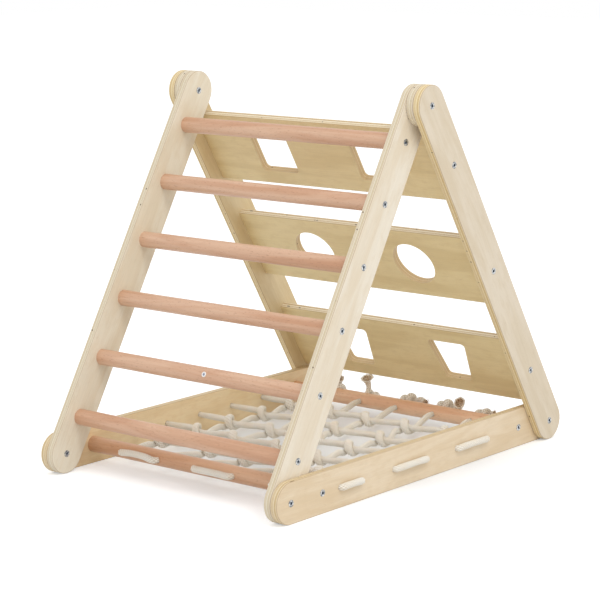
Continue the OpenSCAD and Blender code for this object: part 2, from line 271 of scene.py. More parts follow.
# Edge: each ply turned by a right angle and toned by its own sheet, thin glue lines, a few voids
layer = maths(plywood, "DIVIDE", maths(plywood, "MULTIPLY", axes["X"], plies), thickness)
ply_number = maths(plywood, "FLOOR", layer)
in_ply = maths(plywood, "FRACT", layer)
turned_ply = odd(plywood, ply_number)
own_tone = place(
    plywood, "TexWhiteNoise", {"W": ply_number}, noise_dimensions="1D",
).outputs[0]
end_grain = grain(plywood, where, scales=(700, 240, 240), detail=2, rough=0.6)
ply_tone = rising(plywood, own_tone, base=end_grain, rise=0.5)
edge = laid_over(plywood, given["Edge"], given["Ply"], turned_ply, strength=ply_tone)
to_glue = maths(plywood, "MINIMUM", in_ply, inverse(plywood, in_ply))
glue_line = inverse(plywood, between(plywood, to_glue, *glue_reach))
edge = laid_over(plywood, edge, given["Glue"], glue_line, strength=0.65)
void_at = place(plywood, "CombineXYZ", {
    0: maths(plywood, "MULTIPLY", ply_number, ply_shift),
    1: maths(plywood, "MULTIPLY", axes["Y"], void_scale),
    2: maths(plywood, "MULTIPLY", axes["Z"], void_scale),
}).outputs[0]
hole = between(plywood, noise(plywood, void_at, scale=1.0, detail=1, rough=0.5), 0.70, 0.74)
void = maths(plywood, "MULTIPLY", turned_ply, hole)
edge = laid_over(plywood, edge, void_tone, void, strength=0.85)
# Sanded corner between face and edge, where the first glue line is laid bare. The darker band there
# is partly that glue line and partly painted shade, for the groove where two boards meet
glue_and_groove_shade = maths(
    plywood, "MULTIPLY", between(plywood, under, *glue_shade_from),
    inverse(plywood, between(plywood, under, *glue_shade_to)),
)
wood = laid_over(
    plywood, mixed(plywood, cut, face, edge), given["Glue"], glue_and_groove_shade, strength=0.5)
plywood.links.new(wood, made["Color"])
face_rough = rising(plywood, streak, base=0.44, rise=0.12)
plywood.links.new(rising(plywood, cut, base=face_rough, rise=0.12), made["Roughness"])
# Height: pores, glue lines and turned plies lie a little low, and voids lie deepest
surface = rising(plywood, speck, base=streak, rise=-0.5)
low_plies = rising(plywood, turned_ply, base=glue_line, rise=0.5)
groove = rising(plywood, void, base=maths(plywood, "MULTIPLY", cut, low_plies), rise=2.0)
plywood.links.new(maths(plywood, "SUBTRACT", surface, groove), made["Height"])


def lacquered(name, coat=0.12):
    """Material with a plain coat of lacquer; returns it, its tree and its shader."""
    finish = bpy.data.materials.new(name)
    finish.use_nodes = True
    tree = finish.node_tree
    tree.nodes.clear()
    shader = place(
        tree, "BsdfPrincipled", {"IOR": 1.45, "Coat Weight": coat, "Coat Roughness": 0.35})
    place(tree, "OutputMaterial", {"Surface": shader.outputs[0]})
    return finish, tree, shader


def wired(tree, shader, group, inputs):
    """Sets a node group's inputs and links its colour and roughness; returns its outputs.

    An input is a constant, or a function of the tree that makes an output.
    """
    used = place(tree, "Group", node_tree=group)
    for socket, value in inputs.items():
        if callable(value):
            tree.links.new(value(tree), used.inputs[socket])
        else:
            used.inputs[socket].default_value = value
    tree.links.new(used.outputs["Color"], shader.inputs["Base Color"])
    tree.links.new(used.outputs["Roughness"], shader.inputs["Roughness"])
    return used.outputs


def bumped(tree, shader, height, strength, distance):
    """Gives the shader a bump of this height map."""
    bump = place(tree, "Bump", {"Height": height, "Strength": strength, "Distance": distance})
    tree.links.new(bump.outputs[0], shader.inputs["Normal"])


def along_board(tree, board, side, tilt):
    """Coordinates on a board whose inner face is at X = 0 and whose foot is at Y = 0."""
    low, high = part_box(board)
    inner = low.x if side > 0 else high.x
    made = place(tree, "Mapping", {
        "Vector": object_point(tree), "Location": (inner, 0, 0), "Rotation": (tilt, 0, 0),
        "Scale": (side, 1, 1),
    }, vector_type="TEXTURE")
    return made.outputs[0]


def plywood_finish(name, where_of, look):
    """Plywood material; where_of makes its coordinates and look holds the group's other inputs."""
    finish, tree, shader = lacquered(name)
    sheet = wired(tree, shader, plywood, dict(look, Where=where_of))
    bumped(tree, shader, sheet["Height"], strength=0.25, distance=0.0004)
    return finish


def dress(node, finish):
    """Gives a CAD piece its finish."""
    piece = nodes[node]
    piece.data.materials.clear()
    piece.data.materials.append(finish)


def dress_boards(kind, left_look, right_look, tilt):
    """Gives the left and the right board of a kind their plywood, with the veneer at this tilt."""
    for side, name, look in ((-1, "left", left_look), (1, "right", right_look)):
        board = f"{kind}_{name}"
        dress(board, plywood_finish(
            board + "_plywood", lambda tree: along_board(tree, board, side, tilt), look))


def colour(red, green, blue):
    """Linear colour of a screen colour from 0 to 255."""
    def linear(value):
        value /= 255
        return value / 12.92 if value <= 0.04045 else ((value + 0.055) / 1.055) ** 2.4
    return (linear(red), linear(green), linear(blue), 1)


board_low, board_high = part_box("ladder_leg_right")
board_t = board_high.x - board_low.x
end_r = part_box("base_rail_right")[1].z / 2
apex_z = board_high.z - end_r
leg_run = (board_high.y - end_r) - (board_low.y + end_r)
leg_rise = apex_z - (board_low.z + end_r)
slope = math.atan2(leg_rise, leg_run)
cream_look = {
    "Thickness": board_t, "Face": colour(231, 220, 201), "Figure": colour(222, 206, 180),
    "Edge": colour(230, 219, 196), "Ply": colour(214, 197, 164), "Glue": colour(164, 132, 92),
}
far_leg_look = dict(cream_look, Face=colour(232, 222, 201), Figure=colour(223, 208, 181))
dress_boards("ladder_leg", far_leg_look, cream_look, slope)


# ---- Base rails ----
# The middle layer at the floor, bolted at both feet. They are of the same plywood
# from a warmer sheet, drilled for the rope that is laced through them.

far_rail_look = dict(
    cream_look, Face=colour(246, 224, 184), Figure=colour(232, 202, 154),
    Edge=colour(231, 213, 178), Ply=colour(208, 180, 132),
)
split_at = (0.2863, -0.3725, 0.0745)
split_size = (0.0013, 0.0070, 0.0040)
split_tone = colour(96, 60, 28)
split_rim = (0.7, 1.0)


def split_edge(tree):
    """Colour of the near rail's edge, with a dark split in one ply on top of its front end."""
    off = place(
        tree, "VectorMath", {0: object_point(tree), 1: split_at}, operation="SUBTRACT",
    ).outputs[0]
    share = place(tree, "VectorMath", {0: off, 1: split_size}, operation="DIVIDE").outputs[0]
    reach = place(tree, "VectorMath", {0: share}, operation="LENGTH").outputs["Value"]
    return mixed(tree, between(tree, reach, *split_rim), split_tone, far_rail_look["Edge"])


near_rail_look = dict(
    far_rail_look, Face=colour(229, 210, 181), Figure=colour(217, 193, 157), Edge=split_edge,
)
dress_boards("base_rail", far_rail_look, near_rail_look, 0)


# ---- Apex spacers ----
# Plywood discs that fill the middle layer at the top, held by the apex bolts. Their
# veneer lies flatter than that of the legs.

spacer_tilt = slope * 0.4
dress_boards("apex_spacer", cream_look, cream_look, spacer_tilt)


# ---- Wall legs ----
# The outermost boards, of plywood too, bolted at the apex and at the rear foot. They
# carry the climbing wall between them.

near_wall_look = dict(
    cream_look, Face=colour(220, 206, 184), Figure=colour(209, 192, 164),
    Edge=colour(240, 221, 178), Ply=colour(214, 186, 132),
)
far_wall_look = dict(near_wall_look, Face=colour(218, 197, 156), Figure=colour(207, 183, 138))
dress_boards("wall_leg", far_wall_look, near_wall_look, -slope)


# ---- Wall panels ----
# Three plywood panels, screwed and pinned between the wall legs, with a more yellow
# veneer from side to side. From the top down, their cut-outs are square, round and
# tapered.

top_low, top_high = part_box("wall_panel_top")
middle_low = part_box("wall_panel_middle")[0]
panel_pitch = (top_low.z - middle_low.z) / math.sin(slope)
top_panel_down = (apex_z - (top_low.z + top_high.z) / 2) / math.sin(slope)
cutout_reach = (0.26, 0.28)


def down_wall(tree):
    """Coordinates on the climbing wall: X from side to side, Y down it, Z out of it."""
    made = place(tree, "Mapping", {
        "Vector": object_point(tree), "Location": (0, 0, apex_z), "Rotation": (-slope, 0, 0),
    }, vector_type="TEXTURE")
    return place(tree, "SeparateXYZ", {0: made.outputs[0]}).outputs


def across_panel(tree):
    """Coordinates on a wall panel: X through it, Y from side to side, Z down the wall."""
    axes = down_wall(tree)
    through = maths(tree, "ADD", axes["Z"], board_t / 2)
    return place(tree, "CombineXYZ", {0: through, 1: axes["X"], 2: axes["Y"]}).outputs[0]


def panel_edge(tree):
    """Colour of a panel's edges: pale round the outside, browner inside the cut-outs."""
    down = maths(tree, "SUBTRACT", down_wall(tree)["Y"], top_panel_down)
    pitches = maths(tree, "DIVIDE", down, panel_pitch)
    off_middle = maths(tree, "SUBTRACT", pitches, maths(tree, "ROUND", pitches))
    outside = between(tree, maths(tree, "ABSOLUTE", off_middle), *cutout_reach)
    return mixed(tree, outside, colour(214, 188, 144), colour(240, 228, 200))


panel_look = dict(
    cream_look, Face=colour(235, 215, 166), Figure=colour(222, 199, 147),
    Edge=panel_edge, Ply=colour(196, 166, 118),
)
panel_finish = plywood_finish("panel_plywood", across_panel, panel_look)
for name in ("top", "middle", "bottom"):
    dress("wall_panel_" + name, panel_finish)


# ---- Rungs and base dowels ----
# Turned beech, pinkish brown, with fine straight grain and short darker rays. Each
# bar sits in two shallow sockets and is screwed at both ends.

beech, given, made = shader_group(
    "beech",
    {"Where": "Vector", "Light": "Color", "Dark": "Color", "Ray": "Color"},
    {"Color": "Color", "Roughness": "Float", "Height": "Float"},
)
band = grain(beech, given["Where"], scales=(2.6, 34, 34), detail=4, rough=0.6, warp=0.8)
fibre = grain(beech, given["Where"], scales=(16, 520, 520), detail=3, rough=0.6)
fleck = grain(beech, given["Where"], scales=(120, 700, 700), detail=1, rough=0.5)
ray = between(beech, fleck, 0.63, 0.72)
wood = mixed(beech, between(beech, band, 0.34, 0.7), given["Light"], given["Dark"])
wood = toned(beech, wood, fibre, depth=0.22)
wood = laid_over(beech, wood, given["Ray"], ray, strength=0.35)
beech.links.new(wood, made["Color"])
beech.links.new(rising(beech, fibre, base=0.34, rise=0.15), made["Roughness"])
beech.links.new(rising(beech, ray, base=fibre, rise=-0.4), made["Height"])


def beech_finish(name, light, dark, ray_tone):
    """Beech material in these colours."""
    finish, tree, shader = lacquered(name, coat=0.2)
    stick = wired(tree, shader, beech, {
        "Where": object_point, "Light": light, "Dark": dark, "Ray": ray_tone,
    })
    bumped(tree, shader, stick["Height"], strength=0.2, distance=0.0003)
    return finish


rung_finish = beech_finish(
    "rung_beech", colour(221, 183, 154), colour(200, 151, 118), colour(146, 90, 62))
for number in range(1, 7):
    dress(f"rung_{number}", rung_finish)
dress("panel_pins", rung_finish)
dress("front_dowel", beech_finish(
    "front_dowel_beech", colour(216, 174, 140), colour(197, 146, 108), colour(140, 84, 56)))
# Painted light: the rear dowel gets a lighter beech than the front dowel and the rungs, to make up
# for the shade of the climbing wall above it
dress("rear_dowel", beech_finish(
    "rear_dowel_lightened_beech", colour(238, 200, 166), colour(226, 174, 136), colour(150, 94, 68)))


def joined(near, far):
    """Faces that join one ring of vertex numbers to the next."""
    sides = len(near)
    return [
        (near[spoke], near[(spoke + 1) % sides], far[(spoke + 1) % sides], far[spoke])
        for spoke in range(sides)
    ]


# Small cap pressed into the second rung near its middle: a white ring round a grey centre. Its
# profile runs from the rim to the centre, as distance from its axis and height above the rung
rung_low, rung_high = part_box("rung_2")
rung_r = (rung_high.z - rung_low.z) / 2
cap_off_middle = 0.0143
cap_at = (rung_low + rung_high) / 2 + Vector((cap_off_middle, 0, 0))
cap_faces_up = math.radians(21.5)
cap_out = Vector((0, -math.cos(cap_faces_up), math.sin(cap_faces_up)))
cap_up = Vector((0, math.sin(cap_faces_up), math.cos(cap_faces_up)))
cap_profile = (
    (0.0050, -0.0012), (0.0050, 0.0004), (0.0044, 0.0009), (0.0028, 0.0009), (0.0025, 0.0006),
    (0.0023, 0.0003),
)
cap_sides = 40
cap_verts = []
for radius, proud in cap_profile:
    for spoke in range(cap_sides):
        angle = 2 * math.pi * spoke / cap_sides
        around = Vector((math.cos(angle), 0, 0)) + cap_up * math.sin(angle)
        cap_verts.append(cap_at + cap_out * (rung_r + proud) + around * radius)
cap_rings = [range(low, low + cap_sides) for low in range(0, len(cap_verts), cap_sides)]
cap_faces = []
for near, far in zip(cap_rings, cap_rings[1:]):
    cap_faces += joined(near, far)
cap_faces.append(tuple(cap_rings[-1]))
cap_mesh = bpy.data.meshes.new("rung_cap")
cap_mesh.from_pydata(cap_verts, [], cap_faces)
cap_mesh.polygons.foreach_set("use_smooth", [True] * (len(cap_faces) - 1) + [False])
cap_stain = colour(150, 140, 126)
for name, tone, mottle_scale in (
        ("cap_white", colour(246, 244, 243), 900.0), ("cap_centre", colour(122, 134, 160), 1500.0)):
    cap_finish, tree, shader = lacquered(name, coat=0.0)
    mottle = noise(tree, object_point(tree), mottle_scale, detail=2, rough=0.5)
    worn = laid_over(tree, tone, cap_stain, mottle, strength=0.2)
    tree.links.new(worn, shader.inputs["Base Color"])
    shader.inputs["Roughness"].default_value = 0.5
    cap_mesh.materials.append(cap_finish)
cap_mesh.polygons[-1].material_index = 1
cap = bpy.data.objects.new("rung_cap", cap_mesh)
bpy.context.scene.collection.objects.link(cap)
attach(cap, "root")


# ---- Bolts, cap nuts and screws ----
# Zinc-plated steel with hex sockets, bright with a blue cast. The corner bolts screw
# into cap nuts from outside, and the screws go straight into the bars and panels.

# Painted shade: metal that lies deeper than a head's face, in its hex socket and round its rim, is
# coloured a dark blue grey
sunk_shade_reach = (0.0003, 0.0012)
zinc, given, made = shader_group(
    "zinc_plate", {"Where": "Vector", "Depth": "Float"}, {"Color": "Color", "Roughness": "Float"})
# Patches of bright and dark grey over the plate: partly mottled zinc, partly painted reflection
# where the plain white room gives none
mottle_and_glint = noise(zinc, given["Where"], scale=260.0, detail=2, rough=0.5)
tint = mixed(zinc, between(zinc, mottle_and_glint, 0.38, 0.62), colour(208, 208, 206), colour(124, 128, 132))
# Painted shade in the hex sockets and round the rims
sunk_shade = between(zinc, given["Depth"], *sunk_shade_reach)
zinc.links.new(mixed(zinc, sunk_shade, tint, colour(118, 128, 140)), made["Color"])
zinc.links.new(rising(zinc, mottle_and_glint, base=0.16, rise=0.25), made["Roughness"])


def zinc_finish(name, face_x, outward):
    """Zinc plate on fasteners whose heads end at this distance from the middle of the frame.

    outward is 1 for heads that face away from the middle, and -1 for heads that face it.
    """
    def depth_below_face(tree):
        reach = place(tree, "SeparateXYZ", {0: object_point(tree)}).outputs["X"]
        below = maths(tree, "SUBTRACT", face_x, maths(tree, "ABSOLUTE", reach))
        return maths(tree, "MULTIPLY", below, outward)

    finish, tree, shader = lacquered(name, coat=0.0)
    wired(tree, shader, zinc, {"Where": object_point, "Depth": depth_below_face})
    shader.inputs["Metallic"].default_value = 1.0
    return finish


for fastener in ("apex_bolts", "front_corner_bolts", "rear_corner_bolts",
                 "rung_screws", "dowel_screws", "panel_screws"):
    dress(fastener, zinc_finish(fastener + "_zinc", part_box(fastener)[1].x, 1))
head_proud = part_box("rung_screws")[1].x - board_high.x
cap_nut_face = board_low.x - head_proud
for fastener in ("apex_cap_nuts", "front_corner_cap_nuts", "rear_corner_cap_nuts"):
    dress(fastener, zinc_finish(fastener + "_zinc", cap_nut_face, -1))


# ---- Rope net ----
# Hollow braided cotton rope, 10 mm thick. One long rope is laced out and in through
# both rails as five cross runs. Five more runs come back from the front dowel, take a
# turn round each cross run, and are knotted behind the rear dowel.

mm = 0.001
rope_r = 0.005
# Its mesh is rings of corners, one ring each step
rope_step = 0.0025
rope_sides = 12
strand_swell = 0.00060
# Rope holes: five in the dowels for the long ropes and five in the rails for the cross runs,
# and one more in the front dowel and in each rail
net_z = 0.0375
long_x = (-0.184, -0.092, 0.0, 0.092, 0.184)
front_extra_x = 0.228
cross_y = (-0.188, -0.094, 0.0, 0.094, 0.188)
rail_extra_y = 0.2465
rail_back_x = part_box("base_rail_right")[0].x
rail_face_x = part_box("base_rail_right")[1].x
dowel_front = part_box("front_dowel")[0].y
dowel_bore = dowel_front + 0.010
dowel_inside = dowel_front + 0.0305
dowel_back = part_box("rear_dowel")[1].y
chance = random.Random(7)


def spot_on(x, y, z, girth):
    """Point on a rope's route, in metres, and how far the braid is slack and wide there."""
    return Vector((x, y, z, girth))


def smooth_run(points, step):
    """Evenly spaced points on one smooth curve through these points."""
    parts = 12
    route = [points[0] * 2 - points[1]] + points + [points[-1] * 2 - points[-2]]
    fine = []
    for before, start, stop, after in zip(route, route[1:], route[2:], route[3:]):
        lead = (start - before).xyz.length ** 0.5
        span = (stop - start).xyz.length ** 0.5
        follow = (after - stop).xyz.length ** 0.5
        out = (stop - start) / span - (stop - before) / (lead + span) + (start - before) / lead
        into = (after - stop) / follow - (after - start) / (span + follow) + (stop - start) / span
        # Cubic curve from start to stop, which leaves along out and comes in along into
        for part in range(parts):
            t = part / parts
            fine.append(
                start * (2 * t ** 3 - 3 * t ** 2 + 1) + out * span * (t ** 3 - 2 * t ** 2 + t)
                + stop * (3 * t ** 2 - 2 * t ** 3) + into * span * (t ** 3 - t ** 2)
            )
    fine.append(points[-1])
    length = sum((there - here).xyz.length for here, there in zip(fine, fine[1:]))
    count = max(2, round(length / step))
    target = length / count
    even = [fine[0]]
    walked = 0.0
    for here, there in zip(fine, fine[1:]):
        piece = (there - here).xyz.length
        while len(even) < count and walked + piece >= target * len(even):
            even.append(here.lerp(there, (target * len(even) - walked) / piece))
        walked += piece
    return even + [fine[-1]]


# A bend turns the braid's flat side to it, over some steps. A slack braid is wide and thin, but
# it opens out round again towards a cut end
bend_reach = 3
bend_pull = 0.004
slack_girth = 1.16
slack_power = 0.75
opening_length = 0.012
open_roundness = 0.85


def braid_rings(run):
    """Corners of the braid's rings along a run; strands stand out and lie back in turn."""
    verts = []
    last = len(run) - 1
    flat_way = (run[1] - run[0]).xyz.orthogonal().normalized()
    for number, point in enumerate(run):
        ahead = (run[min(number + 1, last)] - run[max(number - 1, 0)]).xyz.normalized()
        early = run[max(number - bend_reach, 0)].xyz
        late = run[min(number + bend_reach, last)].xyz
        bend = (early + late - point.xyz * 2) / (bend_reach * rope_step) ** 2
        if bend.dot(flat_way) < 0:
            bend = -bend
        flat_way = flat_way + bend * bend_pull
        flat_way = (flat_way - ahead * flat_way.dot(ahead)).normalized()
        wide_way = ahead.cross(flat_way)
        wide = rope_r * point.w
        thin = rope_r * min(point.w, slack_girth * (slack_girth / point.w) ** slack_power)
        opened = max(0, 1 - min(number, last - number) * rope_step / opening_length)
        thin += (wide * open_roundness - thin) * opened
        for spoke in range(rope_sides):
            angle = 2 * math.pi * spoke / rope_sides
            lift = strand_swell if (number + spoke) % 2 else -strand_swell
            verts.append(
                point.xyz + flat_way * math.cos(angle) * (thin + lift)
                + wide_way * math.sin(angle) * (wide + lift)
            )
    return verts


# The hollow inside a cut end, ring by ring: its size as a share of the end's, and its depth as a
# share of the way to the step on the run where the hollow stops
hollow_rings = ((0.74, 0.1), (0.55, 0.6), (0.3, 1.0))
hollow_steps = 4
pale_rim_girth = 1.5


def rope_mesh(name, run):
    """Mesh of one braided rope, flattened where it bends tightly, with an open cut at each end.

    Its yarn is brown in the cuts. Where an end has opened wide, its rim stays pale.
    """
    verts = braid_rings(run)
    last = len(run) - 1
    rings = [range(low, low + rope_sides) for low in range(0, len(verts), rope_sides)]
    brown_rims = {
        0: run[0].w < pale_rim_girth,
        last - 1: run[-1].w < pale_rim_girth,
    }
    faces = []
    laid = []
    brown = []
    for along in range(last):
        faces += joined(rings[along], rings[along + 1])
        brown += [brown_rims.get(along, False)] * rope_sides
        for around in range(rope_sides):
            laid += [
                ((j + i) / 2, (j - i) / 2)
                for i, j in ((along, around), (along, around + 1),
                             (along + 1, around + 1), (along + 1, around))
            ]
    for end, stop, outer_faces, order in (
            (0, hollow_steps, 0, -1), (last, last - hollow_steps, last - 1, 1)):
        outer = rings[end]
        at = run[end].xyz
        rim = [verts[corner] for corner in outer]
        for shrink, depth in hollow_rings:
            centre = at.lerp(run[stop].xyz, depth)
            inner = range(len(verts), len(verts) + rope_sides)
            verts += [centre + (corner - at) * shrink for corner in rim]
            faces += [wall[::order] for wall in joined(outer, inner)]
            outer = inner
        faces.append(tuple(outer)[::order])
        walls = len(hollow_rings) * rope_sides
        brown += [brown_rims[outer_faces]] * rope_sides + [True] * (walls - rope_sides + 1)
        laid += [(0.5, 0.5)] * (4 * walls + rope_sides)
    mesh = bpy.data.meshes.new(name)
    mesh.from_pydata(verts, [], faces)
    braid = mesh.uv_layers.new(name="braid")
    braid.data.foreach_set("uv", [value for pair in laid for value in pair])
    mesh.polygons.foreach_set("use_smooth", [True] * len(faces))
    mesh.polygons.foreach_set("material_index", [int(state) for state in brown])
    return mesh


# Colour and height of the braid: each cell of the weave is one strand on top, of four threads
threads = 4
rope_finish, tree, shader = lacquered("rope_cotton", coat=0.0)
cell = place(tree, "SeparateXYZ", {0: place(tree, "UVMap", uv_map="braid").outputs[0]}).outputs
humps = []
for axis in ("X", "Y"):
    across = maths(tree, "FRACT", cell[axis])
    product = maths(tree, "MULTIPLY", across, inverse(tree, across))
    humps.append(maths(tree, "MULTIPLY", product, 4.0))
hump = maths(tree, "MULTIPLY", humps[0], humps[1])
whole = maths(tree, "ADD", maths(tree, "FLOOR", cell["X"]), maths(tree, "FLOOR", cell["Y"]))
way = place(tree, "Mix", {0: odd(tree, whole), 2: cell["X"], 3: cell["Y"]}).outputs[0]
thread = maths(tree, "SINE", maths(tree, "MULTIPLY", way, 2 * math.pi * threads))
soil = noise(tree, object_point(tree), scale=38.0, detail=3, rough=0.6)
cotton = mixed(
    tree, between(tree, soil, 0.35, 0.75), colour(255, 252, 242), colour(252, 243, 226))
# Painted shade: the grooves between the strands of the braid are darkened towards brown
crevice_shade = inverse(tree, between(tree, hump, 0.0, 0.42))
cotton = laid_over(tree, cotton, colour(162, 134, 96), crevice_shade, strength=0.75)
tree.links.new(cotton, shader.inputs["Base Color"])
shader.inputs["Roughness"].default_value = 0.85
shader.inputs["Sheen Weight"].default_value = 0.2
shader.inputs["Sheen Roughness"].default_value = 0.6
bumped(
    tree, shader, rising(tree, thread, base=hump, rise=0.08), strength=0.6, distance=0.0004)

# Cut yarn that has turned brown
yarn_finish, tree, shader = lacquered("rope_yarn_ends", coat=0.0)
stain = noise(tree, object_point(tree), scale=420.0, detail=2, rough=0.6)
yarn_tone = mixed(
    tree, between(tree, stain, 0.46, 0.60), colour(232, 214, 186), colour(150, 104, 68))
tree.links.new(yarn_tone, shader.inputs["Base Color"])
shader.inputs["Roughness"].default_value = 0.9


# Each turn is tied by hand, so it sits off its even place: across, back and up, in
# millimetres, for the five turns of one long rope from front to rear
pulled = (
    ((-16, 0, 0), (-7, 1, 0), (-6, 0, 0), (-4, 0, 0), (-15, 0, 0)),
    ((12, 3, -1), (-6, 2, 1), (5, 2, 0), (2, 1, 0), (0, 0, 0)),
    ((10, 0, -2), (8, 5, 1), (10, 0, -1), (0, -3, -1), (0, -3, -1)),
    ((14, 1, -2), (20, -1, -3), (21, -1, -3), (21, -1, -4), (6, -2, -2)),
    ((10, -1, -2), (23, -2, -4), (23, -2, -4), (23, -2, -5), (9, -3, -3)),
)
net_sag = 0.004
sag_half_x = 0.27
sag_half_y = 0.29
wander = 0.0018
sway = 0.0006


def crossing_point(column, row):
    """Place where a long rope is hitched round a cross run; the net sags between its edges."""
    x = long_x[column]
    y = cross_y[row]
    sag = net_sag * (1 - (x / sag_half_x) ** 2) * (1 - (y / sag_half_y) ** 2)
    even = Vector((
        x + chance.uniform(-wander, wander), y + chance.uniform(-wander, wander),
        net_z - sag + chance.uniform(-sway, sway),
    ))
    return even + Vector(pulled[column][row]) * mm


knots = {
    (column, row): crossing_point(column, row)
    for column in range(len(long_x)) for row in range(len(cross_y))
}

# One turn round a cross run, in millimetres: in under it, up behind, over, down in front, on
hitch = (
    (-5, -24, -7, 1.14), (-8, -13, -10.5, 1.15), (-11, -2, -10.5, 1.15), (-11.5, 7, -5, 1.25),
    (-9, 8, 3.5, 1.4), (-4.5, 2, 8.8, 1.6), (0.5, -5.8, 6.8, 1.64), (4.5, -9.2, -0.5, 1.56),
    (7, -6.5, -8.5, 1.3), (8, 2, -11, 1.15), (6.5, 12, -10, 1.14),
)
most_swing = 8
pull_range = (0.97, 1.06)
most_slack = 0.06


def hitch_at(point):
    """Points of the long rope round one crossing, each turn pulled a little differently."""
    swing = math.radians(chance.uniform(-most_swing, most_swing))
    pull = chance.uniform(*pull_range)
    slack = chance.uniform(-most_slack, most_slack)
    return [
        spot_on(
            point.x + mm * pull * (x * math.cos(swing) - y * math.sin(swing)),
            point.y + mm * (x * math.sin(swing) + y * math.cos(swing)),
            point.z + mm * z, girth + slack,
        )
        for x, y, z, girth in hitch
    ]


# A stopper knot in millimetres from the mouth of its hole: to the side, away from the wood and up
stopper = (
    (0, -6, 0, 0.95), (0, 1, 0, 0.95), (-3, 8, 2, 1.0), (-9, 12, 2, 1.0), (-14, 11, -3, 1.05),
    (-12, 4, -3, 1.1), (-9, 3, 5, 1.15), (-8, 9, 12, 1.2), (-7, 18, 9, 1.2), (-5, 20, 0, 1.1),
    (-1, 13, -6, 1.1), (4, 4, -1, 1.15), (7, 3, 9, 1.2), (8, 9, 18, 1.3), (9, 18, 14, 1.25),
    (10, 20, 4, 1.15),
)
knot_gap = 0.0005


def knotted(mouth, out, flip, tall, tail):
    """Points of a stopper knot against the wood round a hole, then of its loose tail.

    flip is -1 where the tail leaves to the other side, and tall is how high the knot sits.
    """
    up = Vector((0, 0, 1))
    aside = out.cross(up) * flip
    knot = [(sideways, away, height * tall, girth) for sideways, away, height, girth in stopper]
    return [
        spot_on(*(mouth + (aside * sideways + out * away + up * height) * mm), girth)
        for sideways, away, height, girth in knot + list(tail)
    ]


def long_run(column, knot):
    """Points of a long rope from the front dowel back to its knot behind the rear one.

    The rope is pressed thin in each dowel's hole, and swells where it comes out.
    """
    x = long_x[column]
    swell_x = 0.001
    swell_z = net_z - 0.001
    points = [
        spot_on(x, dowel_front + 0.008, net_z, 0.95),
        spot_on(x, dowel_front + 0.030, net_z, 0.9),
        spot_on(x - swell_x, dowel_front + 0.044, swell_z, 1.08),
    ]
    for row in range(len(cross_y)):
        points += hitch_at(knots[column, row])
    points += [
        spot_on(x + swell_x, dowel_back - 0.046, swell_z, 1.1),
        spot_on(x, dowel_back - 0.030, net_z, 0.94),
    ]
    return points + knotted(Vector((x, dowel_back + knot_gap, net_z)), Vector((0, 1, 0)), *knot)


# A stitch comes out of one hole, bends over its edge, lies on the wood and goes in again
stitch_lift = 0.0052
edge_lift = stitch_lift - 0.0012
taut_lift = stitch_lift + 0.0003
edge_off = 0.003
lying_off = 0.011


def front_stitch(start, stop, bow):
    """Points along the front of the front dowel, from one hole to the next, bowed up by bow."""
    span = stop - start
    mouth = dowel_front + 0.001
    return [
        spot_on(start, mouth, net_z, 1.0),
        spot_on(start + edge_off, dowel_front - edge_lift, net_z + bow * 0.3, 1.15),
        spot_on(start + lying_off, dowel_front - stitch_lift, net_z + bow * 0.6, 1.22),
        spot_on(start + span * 0.35, dowel_front - taut_lift, net_z + bow, 1.2),
        spot_on(start + span * 0.7, dowel_front - taut_lift, net_z + bow * 0.8, 1.2),
        spot_on(stop - lying_off, dowel_front - stitch_lift, net_z + bow * 0.1, 1.22),
        spot_on(stop - edge_off, dowel_front - edge_lift, net_z, 1.15),
        spot_on(stop, mouth, net_z, 1.0),
    ]


def side_stitch(side, start, stop):
    """Points along the outside of a rail, from one hole to the next."""
    mouth = rail_face_x - 0.002
    low_bow = net_z + 0.0006
    high_bow = net_z + 0.0010
    return [
        spot_on(side * mouth, start, net_z, 1.0),
        spot_on(side * (rail_face_x + edge_lift), start + edge_off, net_z, 1.18),
        spot_on(side * (rail_face_x + stitch_lift), start + lying_off, low_bow, 1.28),
        spot_on(side * (rail_face_x + taut_lift), (start + stop) / 2, high_bow, 1.15),
        spot_on(side * (rail_face_x + stitch_lift), stop - lying_off, low_bow, 1.25),
        spot_on(side * (rail_face_x + edge_lift), stop - edge_off, net_z, 1.18),
        spot_on(side * mouth, stop, net_z, 1.0),
    ]


def cross_run(row, side):
    """Points of the cross run that starts at the rail on this side.

    Each turn of a long rope pinches it, and leads it a little forward and up on the way through.
    """
    y = cross_y[row]
    in_rail_x = rail_back_x - 0.004
    swell_x = 0.243
    pinch_x = 0.014
    pinch_y = 0.0006
    pinch_z = 0.0026
    points = [
        spot_on(side * in_rail_x, y, net_z, 0.95),
        spot_on(side * swell_x, y, net_z, 1.14),
    ]
    columns = range(len(long_x))
    for column in columns[::-side]:
        knot = knots[column, row]
        points += [
            spot_on(knot.x + side * pinch_x, knot.y + pinch_y, knot.z - side * pinch_z, 1.15),
            spot_on(*knot, 0.94),
            spot_on(knot.x - side * pinch_x, knot.y - pinch_y, knot.z + side * pinch_z, 1.15),
        ]
    return points + [
        spot_on(-side * swell_x, y, net_z, 1.14),
        spot_on(-side * in_rail_x, y, net_z, 0.95),
    ]


def hang_rope(name, node, points):
    """Makes one rope that stands for its plain solid; returns each end's place and way out."""
    run = smooth_run(points, rope_step)
    rope = bpy.data.objects.new(name, rope_mesh(name, run))
    rope.data.materials.append(rope_finish)
    rope.data.materials.append(yarn_finish)
    bpy.context.scene.collection.objects.link(rope)
    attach(rope, "root")
    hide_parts(node)
    return [
        (run[0].xyz, (run[0] - run[2]).xyz.normalized()),
        (run[-1].xyz, (run[-1] - run[-3]).xyz.normalized()),
    ]


